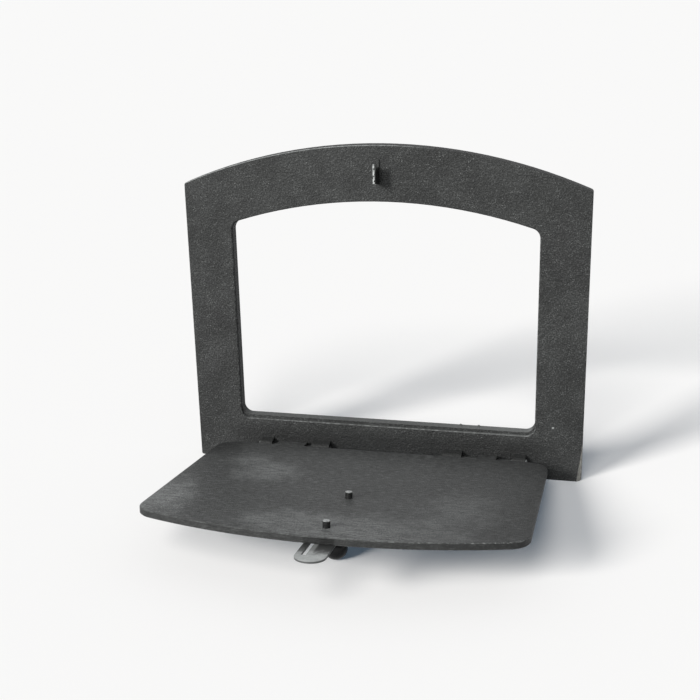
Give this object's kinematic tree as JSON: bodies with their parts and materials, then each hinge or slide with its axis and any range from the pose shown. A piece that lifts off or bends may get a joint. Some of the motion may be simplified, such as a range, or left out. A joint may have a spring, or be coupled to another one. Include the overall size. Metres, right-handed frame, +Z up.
{
  "type": "arched oven door",
  "caption": "Arched cast iron oven door with frame; bottom-hinged plate opens down and leans on its knob; slotted latch plate drops over a keeper blade.",
  "frame": {"origin": "middle of the frame's foot face, on the surface it stands on", "axes": "+X to the viewer's right along the frame's width, +Y from the frame's front face to its back, +Z up the frame's height"},
  "size_m": [0.49, 0.4014, 0.408],
  "materials": {
    "frame_iron": "grainy matt cast skin",
    "door_iron": "cast skin with fine brushed scuffs",
    "keeper_steel": "dark, filed bright on its edge",
    "pin_steel": "dull drawn",
    "bolt_steel": "dull, bright cut ends",
    "latch_steel": "dark grey flat steel",
    "knob_black": "smooth black"
  },
  "bodies": {
    "frame": {"frame": "frame_iron", "keeper": "keeper_steel", "left_hinge_pin": "pin_steel", "right_hinge_pin": "pin_steel"},
    "door": {"door": "door_iron", "lower_guide_bolt": "bolt_steel", "upper_guide_bolt": "bolt_steel"},
    "latch": {"latch_plate": "latch_steel", "knob_stem": "latch_steel", "knob": "knob_black"}
  },
  "joints": [
    {"name": "door_hinge", "type": "hinge", "parent": "frame", "child": "door", "pos_m": [0, -0.01425, 0.023], "axis": [-1, 0, 0], "range_deg": [-97.92, 82.08]},
    {"name": "latch_slide", "type": "slide", "parent": "door", "child": "latch", "axis": [0, -0.9905, 0.1379], "range_m": [-0.006, 0]}
  ]
}
